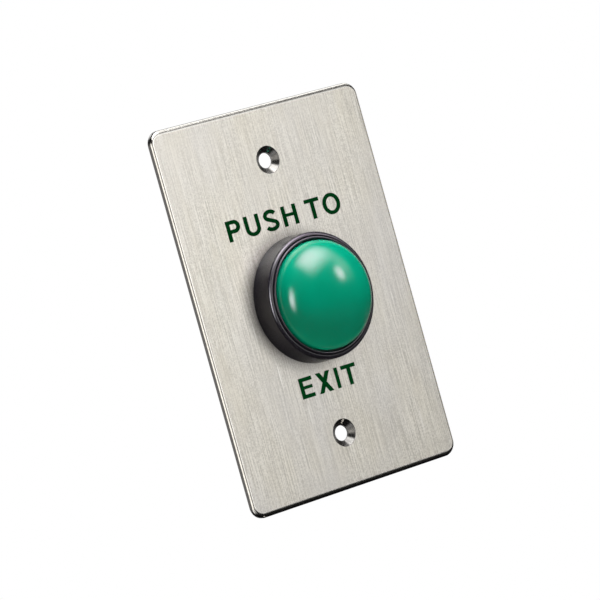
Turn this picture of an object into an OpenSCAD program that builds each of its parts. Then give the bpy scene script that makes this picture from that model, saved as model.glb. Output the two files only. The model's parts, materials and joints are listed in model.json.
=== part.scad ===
// Door exit button: a stainless wall plate with a black button housing screwed
// through its middle, a domed press cap with its plunger and return spring, and
// a snap-action switch clipped on behind.
// Frame: +Z up, +X right, the front faces -Y. The origin is the centre of the
// plate's back face, midway between the screw holes; the button's axis is a
// little below it.

/* [Wall plate] */
// Width of the plate, side to side
plate_w = 78; // [74:1:84]
// Height of the plate
plate_h = 117; // [112:1:124]
// Thickness of the sheet
plate_t = 2.0; // [1.9:0.1:2.4]
// Corner radius, seen from the front
corner_r = 4.0; // [2:0.5:6]
// Rounding of the front edge
edge_r = 0.5; // [0.2:0.1:0.8]
// Distance between the two wall-screw holes
screw_pitch = 84; // [82:0.5:88]
// Diameter of a wall-screw hole
screw_d = 4.6; // [4.2:0.1:5]
// Diameter of the countersink at the front face
csk_d = 8.3; // [7.6:0.1:9]
// Depth of the countersink
csk_depth = 1.5; // [1:0.1:1.6]

/* [Button housing] */
// Height of the button's axis above the middle of the plate
button_z = -0.8; // [-1.2:0.1:0]
// Radius of the collar where it meets the plate
collar_r = 19.3; // [18.9:0.05:19.8]
// Height of the collar's outer edge above the plate
rim_h = 8.1; // [7.7:0.1:8.3]
// Height of the inner lip above the plate
lip_h = 8.6; // [8.5:0.1:9]
// Radius of the bore that the cap slides in
bore_r = 16.8; // [16.7:0.05:17]
// Outer radius of the threaded barrel
barrel_r = 13.8; // [13.4:0.1:13.8]
// Depth of the barrel's end behind the wall plane
barrel_depth = 14; // [13.8:0.1:14]

/* [Cap and plunger] */
// Radius of the domed cap
cap_r = 16.4; // [16:0.1:16.4]
// Height of the dome above its own shoulder
dome_h = 8.6; // [8:0.1:9.5]
// Wall of the cap
cap_wall = 1.8; // [1.4:0.1:2]
// Radius of the plunger's stem
stem_r = 4.0; // [3.6:0.1:4]
// How far the button travels when pressed
travel = 2.2; // [1.8:0.1:2.2]

/* [Snap switch] */
// Length of the switch case, up and down
switch_l = 27.8; // [27:0.1:28.4]
// Thickness of the switch case, side to side
switch_w = 10.3; // [10.1:0.1:10.3]
// Width of a terminal tab
tab_w = 4.75; // [4:0.05:5]
// Gap that the moving contact crosses
contact_gap = 0.6; // [0.56:0.02:0.7]

/* [Hidden] */
$fn = 96;
f = plate_t;                      // height of the plate's front face
guide_r = stem_r + 0.05;          // stem runs in this bore
tube_r = 6.2;                     // outside of the stem's guide tube
tube_end = -6;                    // rear end of the guide tube
floor_lo = 0.8;                   // underside of the housing's floor
floor_hi = f + 1.6;               // top of the housing's floor
barrel_ir = barrel_r - 2.2;       // inside of the barrel
shoulder = f + 8.5;               // height of the cap's shoulder
skirt_lo = f + 4.3;               // lower edge of the cap's skirt
disc_lo = f + 9.4;                // plunger disc, lower face
disc_hi = disc_lo + 1.6;          // plunger disc, upper face
stem_top = f + 14.5;              // top of the stem, inside the cap's boss
leg_in = 9.5;                     // snap legs, near side
leg_out = 11.0;                   // snap legs, far side
hook_in = 8.2;                    // tip of a snap hook
spring_r = 6.0;                   // mean radius of the return spring
spring_wire = 0.4;                // radius of its wire
carrier_lo = -barrel_depth - 2;   // rear face of the carrier's disc
button_top = carrier_lo - 0.2;    // tip of the switch's own button
stem_end = button_top + 0.15;     // rear end of the stem
case_hi = button_top - 2.6;       // switch case, face next to the stem
case_lo = case_hi - 15.9;         // switch case, rear face
case_y0 = -10.2;                  // switch case, lower end
case_y1 = case_y0 + switch_l;     // switch case, upper end
case_x = switch_w / 2;            // switch case, half thickness
cover_x = case_x - 1.5;           // where the cover meets the case
pin_a = [-7.4, case_hi - 13.1];   // fixing holes of the switch, [up, out]
pin_b = [14.8, case_hi - 2.8];
rivet_c = [-8.4, case_hi - 1.8];  // rivets of the cover
rivet_d = [15.9, case_hi - 14.1];
blade_z = case_hi - 6.2;          // mid height of the contact blade
pivot_y = 10.5;                   // the blade's pivot
contact_y = -6.5;                 // the moving contact
arm_nc = blade_z + 1.8;           // middle of the normally closed arm
arm_no = blade_z - 1.8 - contact_gap;  // middle of the normally open arm

steel = [0.80, 0.78, 0.75];
black = [0.10, 0.10, 0.11];
green = [0.00, 0.55, 0.40];
brass = [0.80, 0.66, 0.35];
silver = [0.85, 0.85, 0.87];

// Everything is drawn lying on its back, with +Z out of the wall and +Y up the
// plate, and this stands it up against the wall. on_axis() does the same for
// what is drawn around the button's axis.
module stand() { rotate([90, 0, 0]) children(); }
module on_axis() { stand() translate([0, button_z, 0]) children(); }

// A bar across the switch, along X, at [up, out]
module across(p, r, x0, x1) {
    translate([x0, p[0], p[1]]) rotate([0, 90, 0]) cylinder(h = x1 - x0, r = r);
}

// A plate of the given side outline, [up, out] points, from x0 to x1
module side_plate(pts, x0, x1) {
    translate([x0, 0, 0]) rotate([90, 0, 90]) linear_extrude(x1 - x0) polygon(pts);
}

function arc(c, r, a0, a1, n) =
    [for (i = [0:n]) [c[0] + r * cos(a0 + (a1 - a0) * i / n),
                      c[1] + r * sin(a0 + (a1 - a0) * i / n)]];

// ---- wall plate ----

module plate_corner() {
    er = edge_r;
    rotate_extrude($fn = 48)
        polygon(concat([[0, 0], [corner_r - 0.15, 0], [corner_r, 0.15]],
                       arc([corner_r - er, f - er], er, 0, 90, 5),
                       [[0, f]]));
}

module faceplate() {
    color(steel) stand() difference() {
        hull()
            for (x = [-1, 1], y = [-1, 1])
                translate([x * (plate_w / 2 - corner_r), y * (plate_h / 2 - corner_r), 0])
                    plate_corner();
        translate([0, button_z, -1]) cylinder(h = f + 2, r = barrel_r + 0.3);
        for (y = [-1, 1]) translate([0, y * screw_pitch / 2, 0]) {
            translate([0, 0, -1]) cylinder(h = f + 2, r = screw_d / 2);
            translate([0, 0, f - csk_depth])
                cylinder(h = 2 * csk_depth, r1 = screw_d / 2, r2 = csk_d - screw_d / 2);
        }
    }
}

// ---- button housing: collar, floor, guide tube and barrel in one moulding ----

// Outline of the collar's top, from its outer wall in to the bore
function collar_top() = concat(
    [[collar_r, f]],
    arc([collar_r - 1.3, f + rim_h - 1.1], 1.1, 0, 78, 8),
    [[17.95, f + rim_h - 0.05],
     [17.78, f + rim_h - 0.42],
     [17.62, f + rim_h - 0.05]],
    arc([bore_r + 0.42, f + lip_h - 0.42], 0.42, 60, 180, 6));

module button_housing() {
    color(black) on_axis() difference() {
        rotate_extrude()
            polygon(concat(
                collar_top(),
                [[bore_r, floor_hi],
                 [5.4, floor_hi], [5.4, floor_hi + 1], [guide_r, floor_hi + 1],
                 [guide_r, tube_end], [tube_r, tube_end],
                 [tube_r, floor_lo], [barrel_ir, floor_lo],
                 [barrel_ir, -barrel_depth], [barrel_r - 0.6, -barrel_depth],
                 [barrel_r, -barrel_depth + 0.6], [barrel_r, f]]));
        // slots in the floor for the plunger's snap legs
        for (s = [-1, 1])
            translate([s * 10.25 - 1.15, -2.35, floor_lo - 1]) cube([2.3, 4.7, floor_hi - floor_lo + 2]);
        // notches in the barrel's end for the carrier's lugs
        for (s = [-1, 1])
            translate([-2.4, s * 12.7 - 2.2, -barrel_depth - 1]) cube([4.8, 4.4, 4.2]);
    }
}

module lock_washer() {
    color(silver) on_axis() difference() {
        translate([0, 0, -0.8]) cylinder(h = 0.8, r = 17.2);
        translate([0, 0, -1.8]) cylinder(h = 2.8, r = barrel_r + 0.15);
        for (i = [0:11]) rotate([0, 0, 30 * i])
            translate([13.2, -1.5, -1.8]) cube([2.2, 3, 2.8]);
    }
}

module panel_nut() {
    color(black) on_axis() difference() {
        union() {
            translate([0, 0, -2.4]) cylinder(h = 1.6, r = 18.4);
            translate([0, 0, -7.2]) cylinder(h = 5.2, r = 17.9, $fn = 6);
        }
        translate([0, 0, -8.2]) cylinder(h = 9, r = barrel_r);
    }
}

// ---- cap and plunger ----

module dome_cap() {
    n = 22;
    wall_b = dome_h - cap_wall;
    inner_r = cap_r - cap_wall;
    color(green) on_axis() union() {
        rotate_extrude()
            polygon(concat(
                [[cap_r - 0.3, skirt_lo], [cap_r, skirt_lo + 0.3]],
                [for (i = [0:n]) [cap_r * cos(90 * i / n), shoulder + dome_h * sin(90 * i / n)]],
                [for (i = [n:-1:0]) [inner_r * cos(90 * i / n), shoulder + wall_b * sin(90 * i / n)]],
                [[inner_r, skirt_lo]]));
        // socket inside for the plunger's stem
        difference() {
            translate([0, 0, disc_hi]) cylinder(h = shoulder + wall_b + 0.6 - disc_hi, r = 6.5);
            translate([0, 0, disc_hi - 1]) cylinder(h = stem_top - disc_hi + 1.1, r = stem_r);
        }
    }
}

module snap_leg() {
    // outline [across, out]: leg with an inward hook below the floor
    translate([0, 2, 0]) rotate([90, 0, 0]) linear_extrude(4)
        polygon([[leg_in, disc_lo + 0.4], [leg_in, floor_lo - 0.15],
                 [hook_in, floor_lo - 0.15], [hook_in, floor_lo - 0.6],
                 [leg_in + 0.4, floor_lo - 2.2], [leg_out, floor_lo - 2.2],
                 [leg_out, disc_lo + 0.4]]);
}

module plunger() {
    color([0.85, 0.85, 0.83]) on_axis() union() {
        rotate_extrude()
            polygon([[0, stem_end], [stem_r - 0.5, stem_end], [stem_r, stem_end + 0.5],
                     [stem_r, disc_lo], [12.6, disc_lo], [12.6, disc_hi],
                     [stem_r, disc_hi], [stem_r, stem_top], [0, stem_top]]);
        snap_leg();
        rotate([0, 0, 180]) snap_leg();
    }
}

// Closed-end coil: flat turns at both ends and open turns between
spring_turns = 5;
spring_lo = floor_hi + spring_wire + 0.02;
spring_hi = disc_lo - spring_wire - 0.02;
function coil_z(t) =
    let (w = 2 * spring_wire + 0.02, open = spring_hi - spring_lo - 2 * w)
    t < 1 ? spring_lo + w * t
    : t > spring_turns - 1 ? spring_hi - w * (spring_turns - t)
    : spring_lo + w + open * (t - 1) / (spring_turns - 2);

module return_spring() {
    steps = 18 * spring_turns;
    sides = 8;
    pts = [for (i = [0:steps], k = [0:sides - 1])
        let (t = spring_turns * i / steps, a = 360 * t, b = 360 * k / sides,
             r = spring_r + spring_wire * cos(b))
        [r * cos(a), r * sin(a), coil_z(t) + spring_wire * sin(b)]];
    sidesf = [for (i = [0:steps - 1], k = [0:sides - 1])
        let (k2 = (k + 1) % sides, a = i * sides, b = (i + 1) * sides)
        [a + k, b + k, b + k2, a + k2]];
    ends = [[for (k = [0:sides - 1]) k], [for (k = [sides - 1:-1:0]) steps * sides + k]];
    color(silver) on_axis() polyhedron(points = pts, faces = concat(sidesf, ends), convexity = 6);
}

// ---- switch carrier ----

module switch_carrier() {
    cheek = [[-9.8, carrier_lo], [12.6, carrier_lo], [case_y1 - 0.2, case_hi - 0.2],
             [case_y1 - 0.2, case_hi - 6.4], [2, case_lo + 0.2], [-9.8, case_lo + 0.2]];
    color([0.16, 0.16, 0.18]) on_axis() difference() {
        union() {
            rotate_extrude()
                polygon([[5, carrier_lo], [barrel_r, carrier_lo], [barrel_r, -barrel_depth],
                         [barrel_ir - 0.1, -barrel_depth], [barrel_ir - 0.1, -9], [9, -9],
                         [9, -barrel_depth], [5, -barrel_depth]]);
            for (s = [-1, 1])
                translate([-2.2, s * 12.3 - 1.3, -barrel_depth - 0.5]) cube([4.4, 2.6, 3.5]);
            side_plate(cheek, case_x + 0.1, case_x + 1.8);
            side_plate(cheek, -case_x - 1.8, -case_x - 0.1);
        }
        across(pin_a, 1.5, -case_x - 3, case_x + 3);
        across(pin_b, 1.5, -case_x - 3, case_x + 3);
    }
}

module switch_pin(p) {
    across(p, 1.5, -case_x - 2.4, case_x + 1.8);
    across(p, 2.4, case_x + 1.8, case_x + 2.6);
}

module switch_pins() {
    color(silver) on_axis() { switch_pin(pin_a); switch_pin(pin_b); }
}

// ---- snap switch ----

module rivet_space(p) {
    across(p, 0.8, -case_x - 1, case_x + 1);
    for (s = [0, 1]) mirror([s, 0, 0]) translate([case_x - 0.5, p[0], p[1]])
        rotate([0, 90, 0]) cylinder(h = 1, r1 = 0.8, r2 = 1.8);
}

module switch_case() {
    color([0.13, 0.13, 0.14]) on_axis() difference() {
        translate([-case_x, case_y0, case_lo]) cube([case_x + cover_x, switch_l, case_hi - case_lo]);
        difference() {
            translate([-cover_x, case_y0 + 1.5, case_lo + 1.5])
                cube([2 * cover_x + 1, switch_l - 3, case_hi - case_lo - 3.3]);
            across(pin_a, 2.9, -case_x, cover_x);
            across(pin_b, 2.9, -case_x, cover_x);
            across(rivet_c, 1.7, -case_x, cover_x);
            across(rivet_d, 1.7, -case_x, cover_x);
        }
        // guide for the switch's button
        translate([0, 0, case_hi - 3]) cylinder(h = 4, r = 1.55);
        across(pin_a, 1.55, -case_x - 1, case_x + 1);
        across(pin_b, 1.55, -case_x - 1, case_x + 1);
        rivet_space(rivet_c);
        rivet_space(rivet_d);
        // terminal slots, open on the cover's side
        for (z = [arm_nc, arm_no])
            translate([-tab_w / 2, case_y0 - 1, z - 0.4]) cube([cover_x + 1 + tab_w / 2, 3.5, 0.8]);
        translate([-tab_w / 2, pivot_y - 0.4, case_lo - 1]) cube([cover_x + 1 + tab_w / 2, 0.8, 3.5]);
    }
}

module switch_cover() {
    color([0.20, 0.20, 0.22]) on_axis() difference() {
        translate([cover_x, case_y0, case_lo]) cube([1.5, switch_l, case_hi - case_lo]);
        across(pin_a, 1.55, -case_x - 1, case_x + 1);
        across(pin_b, 1.55, -case_x - 1, case_x + 1);
        rivet_space(rivet_c);
        rivet_space(rivet_d);
    }
}

module cover_rivet(p) {
    translate([0, p[0], p[1]]) rotate([0, 90, 0]) rotate_extrude()
        polygon([[0, -case_x], [1.3, -case_x], [0.8, -case_x + 0.5],
                 [0.8, case_x - 0.5], [1.3, case_x], [0, case_x]]);
}

module cover_rivets() {
    color(brass) on_axis() { cover_rivet(rivet_c); cover_rivet(rivet_d); }
}

module switch_button() {
    color([0.75, 0.15, 0.12]) on_axis() rotate_extrude()
        polygon([[0, case_hi - 3.6], [1.3, case_hi - 3.6], [1.5, case_hi - 3.4], [1.5, case_hi - 2.9],
                 [2.4, case_hi - 2.9], [2.4, case_hi - 2.1], [1.5, case_hi - 2.1],
                 [1.5, button_top + -0.4], [1.1, button_top], [0, button_top]]);
}

module contact_blade() {
    color([0.78, 0.55, 0.30]) on_axis() difference() {
        union() {
            translate([-2.4, contact_y - 1.6, blade_z - 0.15])
                cube([4.8, pivot_y - contact_y + 1.6, 0.3]);
            across([pivot_y, blade_z], 0.6, -2.4, 2.4);
        }
        translate([-1.7, -3, blade_z - 1]) cube([3.4, 12, 2]);
        translate([0, contact_y, blade_z - 1]) cylinder(h = 2, r = 0.7);
    }
}

module moving_contact() {
    color(silver) on_axis() translate([0, contact_y, blade_z]) rotate_extrude()
        polygon([[0, -0.8], [1.1, -0.8], [1.3, -0.6], [1.3, -0.15], [0.7, -0.15],
                 [0.7, 0.15], [1.3, 0.15], [1.3, 0.6], [1.1, 0.8], [0, 0.8]]);
}

// Bowed leaf between the anchor and the blade, which the button flattens
module snap_spring() {
    y0 = -2.7; y1 = 8.6; n = 14; th = 0.16;
    lo = blade_z - 0.55;
    top = case_hi - 3.66;
    rise = (top - lo) / (1 - pow((1.5 - (y0 + y1) / 2) / ((y1 - y0) / 2), 2));
    function bow(y) = lo + rise * (1 - pow((y - (y0 + y1) / 2) / ((y1 - y0) / 2), 2));
    color([0.78, 0.55, 0.30]) on_axis()
        side_plate(concat([for (i = [0:n]) let (y = y0 + (y1 - y0) * i / n) [y, bow(y)]],
                          [for (i = [n:-1:0]) let (y = y0 + (y1 - y0) * i / n) [y, bow(y) - th]]),
                   -1.1, 1.1);
}

module common_terminal() {
    color(brass) on_axis() difference() {
        union() {
            translate([-tab_w / 2, pivot_y - 0.4, case_lo - 7.2]) cube([tab_w, 0.8, blade_z - 2.2 - case_lo + 7.2]);
            translate([-tab_w / 2, pivot_y - 1.2, blade_z - 2.4]) cube([tab_w, 2.4, 2.1]);
            translate([-tab_w / 2, pivot_y - 2.5, blade_z - 2.4]) cube([tab_w, 2, 1.68]);
        }
        across([pivot_y, blade_z], 0.66, -4, 4);
        translate([0, pivot_y + 2, case_lo - 4.4]) rotate([90, 0, 0]) cylinder(h = 4, r = 0.9);
    }
}

module end_terminal(z) {
    difference() {
        translate([-tab_w / 2, case_y0 - 6.8, z - 0.4]) cube([tab_w, contact_y + 1.7 - case_y0 + 6.8, 0.8]);
        translate([0, contact_y, z - 1]) cylinder(h = 2, r = 0.7);
        translate([0, case_y0 - 4.2, z - 1]) cylinder(h = 2, r = 0.9);
    }
}

module normally_open_terminal() { color(brass) on_axis() end_terminal(arm_no); }
module normally_closed_terminal() { color(brass) on_axis() end_terminal(arm_nc); }

// Contact rivet through a terminal's arm, its head towards the blade
module fixed_contact(head) {
    rotate_extrude()
        polygon([[0, -0.4], [0.7, -0.4], [0.7, 0.4], [1.3, 0.4],
                 [1.3, 0.4 + head - 0.15], [1.1, 0.4 + head], [0, 0.4 + head]]);
}

module normally_open_contact() {
    color(silver) on_axis() translate([0, contact_y, arm_no]) fixed_contact(0.6);
}

module normally_closed_contact() {
    color(silver) on_axis() translate([0, contact_y, arm_nc]) mirror([0, 0, 1]) fixed_contact(0.55);
}

faceplate();
button_housing();
lock_washer();
panel_nut();
dome_cap();
plunger();
return_spring();
switch_carrier();
switch_pins();
switch_case();
switch_cover();
cover_rivets();
switch_button();
contact_blade();
moving_contact();
snap_spring();
common_terminal();
normally_open_terminal();
normally_closed_terminal();
normally_open_contact();
normally_closed_contact();
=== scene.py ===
"""Looks of a door exit button: brushed steel wall plate, black collar, green dome,
and the barrel, nut and snap switch behind the plate."""

import json
import math

import bmesh
import bpy
from mathutils import Matrix, Vector
from mathutils.geometry import tessellate_polygon

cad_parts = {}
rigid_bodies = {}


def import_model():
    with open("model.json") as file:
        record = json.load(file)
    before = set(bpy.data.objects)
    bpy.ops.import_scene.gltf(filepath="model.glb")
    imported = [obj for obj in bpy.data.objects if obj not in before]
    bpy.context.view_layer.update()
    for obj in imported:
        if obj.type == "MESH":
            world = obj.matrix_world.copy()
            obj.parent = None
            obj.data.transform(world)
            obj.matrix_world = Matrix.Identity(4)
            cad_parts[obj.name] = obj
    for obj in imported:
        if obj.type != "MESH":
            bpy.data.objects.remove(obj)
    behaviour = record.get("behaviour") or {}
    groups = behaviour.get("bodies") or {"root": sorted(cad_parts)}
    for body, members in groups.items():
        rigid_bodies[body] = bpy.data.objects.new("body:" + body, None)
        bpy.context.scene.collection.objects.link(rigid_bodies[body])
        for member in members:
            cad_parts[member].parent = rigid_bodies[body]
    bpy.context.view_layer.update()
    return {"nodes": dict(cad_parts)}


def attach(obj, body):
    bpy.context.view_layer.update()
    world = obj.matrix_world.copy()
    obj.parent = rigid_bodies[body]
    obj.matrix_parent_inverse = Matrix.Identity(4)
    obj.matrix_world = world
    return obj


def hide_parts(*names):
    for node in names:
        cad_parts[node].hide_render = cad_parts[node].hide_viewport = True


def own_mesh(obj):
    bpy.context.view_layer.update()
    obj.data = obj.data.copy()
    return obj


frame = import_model()
nodes = frame["nodes"]
scene = bpy.context.scene
MM = 0.001

# sizes in millimetres, as in the part
PLATE_W, PLATE_H, PLATE_T = 78.0, 117.0, 2.0
CORNER_R = 4.0
END_IN, END_DEEP, SIDE_IN, SIDE_DEEP = 1.5, 1.1, 0.85, 0.85   # the belt runs off the ends and rounds them more
SCREW_PITCH, SCREW_R, CSK_R, CSK_DEPTH = 84.0, 2.3, 4.15, 1.5
BUTTON_Z = -0.8
F = PLATE_T
COLLAR_R, RIM_H, LIP_H, BORE_R = 19.3, 8.1, 8.6, 16.8
BARREL_R, BARREL_IR, BARREL_END = 13.8, 11.6, -14.0
GUIDE_R, TUBE_R, TUBE_END, FLOOR_LO, FLOOR_HI = 4.05, 6.2, -6.0, 0.8, 3.6
CAP_R, DOME_H, CAP_WALL, SHOULDER, SKIRT_LO = 16.4, 8.6, 1.8, 10.5, 6.3
DISC_LO, DISC_HI, STEM_TOP, STEM_R = 11.4, 13.0, 16.5, 4.0
CASE_HI = -18.8
BLADE_Z = CASE_HI - 6.2


def at(x, up, out):
    """A point of the button's own drawing (right, up, out of the wall; mm) in the row frame."""
    return Vector((x, -out, up + BUTTON_Z)) * MM


def on_plate(x, up, out):
    """The same for a point that is drawn about the plate's middle."""
    return Vector((x, -out, up)) * MM


# ---------------------------------------------------------------- meshes


def new_object(name, mesh, materials, body, smooth=True, sharp=35.0):
    for m in materials:
        mesh.materials.append(m)
    mesh.validate()
    bm = bmesh.new()
    bm.from_mesh(mesh)
    bmesh.ops.recalc_face_normals(bm, faces=bm.faces)
    bm.to_mesh(mesh)
    bm.free()
    if smooth:
        mesh.shade_smooth()
        mesh.set_sharp_from_angle(angle=math.radians(sharp))
    o = bpy.data.objects.new(name, mesh)
    scene.collection.objects.link(o)
    if body:
        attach(o, body)
    return o


def mesh_of(name, verts, faces, face_mats=None):
    mesh = bpy.data.meshes.new(name)
    mesh.from_pydata([tuple(v) for v in verts], [], faces)
    if face_mats:
        mesh.polygons.foreach_set("material_index", face_mats)
    return mesh


def arc(cx, cy, r, a0, a1, n, ry=None):
    ry = r if ry is None else ry
    out = []
    for i in range(n + 1):
        a = math.radians(a0 + (a1 - a0) * i / n)
        out.append((cx + r * math.cos(a), cy + ry * math.sin(a)))
    return out


def lathe(name, profile, columns, place=at, closed=True):
    """Turns a profile of (radius, out) points about the button's axis. profile may be a function
    of the angle's share of a turn. Radius 0 at an end closes the mesh there."""
    rows = [profile(i / columns) if callable(profile) else profile for i in range(columns)]
    m = len(rows[0])
    verts, ring = [], []
    for j in range(m):
        if all(r[j][0] < 1e-6 for r in rows):
            verts.append(place(0, 0, rows[0][j][1]))
            ring.append([len(verts) - 1] * columns)
        else:
            ids = []
            for i in range(columns):
                a = 2 * math.pi * i / columns
                rad, out = rows[i][j]
                verts.append(place(rad * math.cos(a), rad * math.sin(a), out))
                ids.append(len(verts) - 1)
            ring.append(ids)
    faces = []
    for j in range(m if closed else m - 1):
        a, b = ring[j], ring[(j + 1) % m]
        for i in range(columns):
            k = (i + 1) % columns
            face = []
            for v in (a[i], a[k], b[k], b[i]):
                if v not in face:
                    face.append(v)
            if len(face) > 2:
                faces.append(face)
    return mesh_of(name, verts, faces)


def tube(name, path, radius, sides):
    """A round wire along a list of points, with flat ends."""
    verts, faces = [], []
    n = len(path)
    normal = None
    for i, p in enumerate(path):
        t = (path[min(i + 1, n - 1)] - path[max(i - 1, 0)]).normalized()
        if normal is None:
            normal = t.orthogonal().normalized()
        normal = (normal - t * normal.dot(t)).normalized()
        b = t.cross(normal)
        for k in range(sides):
            a = 2 * math.pi * k / sides
            verts.append(p + (normal * math.cos(a) + b * math.sin(a)) * radius)
    for i in range(n - 1):
        for k in range(sides):
            q = (k + 1) % sides
            faces.append([i * sides + k, i * sides + q, (i + 1) * sides + q, (i + 1) * sides + k])
    faces.append(list(range(sides)))
    faces.append([(n - 1) * sides + k for k in reversed(range(sides))])
    return mesh_of(name, verts, faces)


def box_mesh(name, lo, hi, place=at):
    xs, ups, outs = zip(lo, hi)
    v = [place(x, u, o) for x in xs for u in ups for o in outs]
    f = [[0, 1, 3, 2], [4, 6, 7, 5], [0, 4, 5, 1], [2, 3, 7, 6], [0, 2, 6, 4], [1, 5, 7, 3]]
    return mesh_of(name, v, f)


def cut(obj, cutters):
    """Takes the cutter meshes out of obj, for good."""
    made = []
    for i, m in enumerate(cutters):
        bm = bmesh.new()
        bm.from_mesh(m)
        bmesh.ops.recalc_face_normals(bm, faces=bm.faces)
        bm.to_mesh(m)
        bm.free()
        c = bpy.data.objects.new(f"cutter_{i}", m)
        scene.collection.objects.link(c)
        mod = obj.modifiers.new(f"cut_{i}", "BOOLEAN")
        mod.operation, mod.object, mod.solver = "DIFFERENCE", c, "EXACT"
        made.append(c)
    bpy.context.view_layer.update()
    dg = bpy.context.evaluated_depsgraph_get()
    mesh = bpy.data.meshes.new_from_object(obj.evaluated_get(dg))
    obj.modifiers.clear()
    obj.data = mesh
    for c in made:
        bpy.data.objects.remove(c)
    mesh.shade_smooth()
    mesh.set_sharp_from_angle(angle=math.radians(35))
    return obj


# ---------------------------------------------------------------- materials


def principled(name):
    m = bpy.data.materials.new(name)
    m.use_nodes = True
    return m, m.node_tree, m.node_tree.nodes["Principled BSDF"]


def node(tree, kind, **settings):
    n = tree.nodes.new(kind)
    for key, value in settings.items():
        setattr(n, key, value)
    return n


def coords(tree, scale):
    c = node(tree, "ShaderNodeTexCoord")
    mp = node(tree, "ShaderNodeMapping")
    mp.inputs["Scale"].default_value = scale
    tree.links.new(c.outputs["Object"], mp.inputs["Vector"])
    return mp.outputs["Vector"]


def noise(tree, scale, detail=2.0, rough=0.5, vector=None, size=1.0):
    n = node(tree, "ShaderNodeTexNoise")
    n.inputs["Scale"].default_value = size
    n.inputs["Detail"].default_value = detail
    n.inputs["Roughness"].default_value = rough
    tree.links.new(vector if vector is not None else coords(tree, scale), n.inputs["Vector"])
    return n.outputs["Fac"]


def remap(tree, value, a, b, c, d, kind="LINEAR"):
    n = node(tree, "ShaderNodeMapRange", interpolation_type=kind)
    n.inputs["From Min"].default_value, n.inputs["From Max"].default_value = a, b
    n.inputs["To Min"].default_value, n.inputs["To Max"].default_value = c, d
    tree.links.new(value, n.inputs["Value"])
    return n.outputs["Result"]


def math_node(tree, op, a, b=None):
    n = node(tree, "ShaderNodeMath", operation=op)
    for i, v in enumerate((a, b)):
        if v is None:
            continue
        if isinstance(v, (int, float)):
            n.inputs[i].default_value = v
        else:
            tree.links.new(v, n.inputs[i])
    return n.outputs[0]


def mix_colour(tree, fac, a, b, blend="MIX"):
    n = node(tree, "ShaderNodeMix", data_type="RGBA", blend_type=blend)
    tree.links.new(fac, n.inputs["Factor"])
    for i, v in ((6, a), (7, b)):
        if isinstance(v, tuple):
            n.inputs[i].default_value = (*v, 1)
        else:
            tree.links.new(v, n.inputs[i])
    return n.outputs[2]


def bump(tree, bsdf, height, strength, distance, before=None):
    n = node(tree, "ShaderNodeBump")
    n.inputs["Strength"].default_value = strength
    n.inputs["Distance"].default_value = distance
    tree.links.new(height, n.inputs["Height"])
    if before is not None:
        tree.links.new(before, n.inputs["Normal"])
    tree.links.new(n.outputs["Normal"], bsdf.inputs["Normal"])
    return n.outputs["Normal"]


def plastic(name, dark, light, rough, grain=0.08, grain_mm=0.09, ior=1.5, coat=0.0):
    """Moulded plastic: faint mottling, a fine spark-eroded grain and soft flow marks."""
    m, t, p = principled(name)
    mottle = noise(t, (160, 160, 160), 3.0, 0.55)
    t.links.new(mix_colour(t, remap(t, mottle, 0.3, 0.7, 0, 1), dark, light), p.inputs["Base Color"])
    fine = noise(t, (1 / (grain_mm * MM),) * 3, 2.0, 0.6)
    wide = noise(t, (420, 420, 420), 2.0, 0.5)
    both = math_node(t, "ADD", math_node(t, "MULTIPLY", fine, 0.5), math_node(t, "MULTIPLY", wide, 0.5))
    t.links.new(remap(t, both, 0.3, 0.7, rough - 0.05, rough + 0.06), p.inputs["Roughness"])
    bump(t, p, fine, grain, 0.00003)
    p.inputs["IOR"].default_value = ior
    if coat:
        p.inputs["Coat Weight"].default_value = coat
        p.inputs["Coat Roughness"].default_value = 0.08
    return m


def metal(name, dark, light, rough, grain=(900, 900, 900), strength=0.08, distance=0.00002):
    """Bare or plated metal: drawn or rolled grain, patchy tone."""
    m, t, p = principled(name)
    p.inputs["Metallic"].default_value = 1.0
    lines = noise(t, grain, 4.0, 0.6)
    patch = noise(t, (120, 120, 120), 3.0, 0.5)
    tone = math_node(t, "ADD", math_node(t, "MULTIPLY", lines, 0.5), math_node(t, "MULTIPLY", patch, 0.5))
    t.links.new(mix_colour(t, remap(t, tone, 0.35, 0.65, 0, 1), dark, light), p.inputs["Base Color"])
    t.links.new(remap(t, tone, 0.3, 0.7, rough - 0.06, rough + 0.08), p.inputs["Roughness"])
    bump(t, p, lines, strength, distance)
    return m


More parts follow.
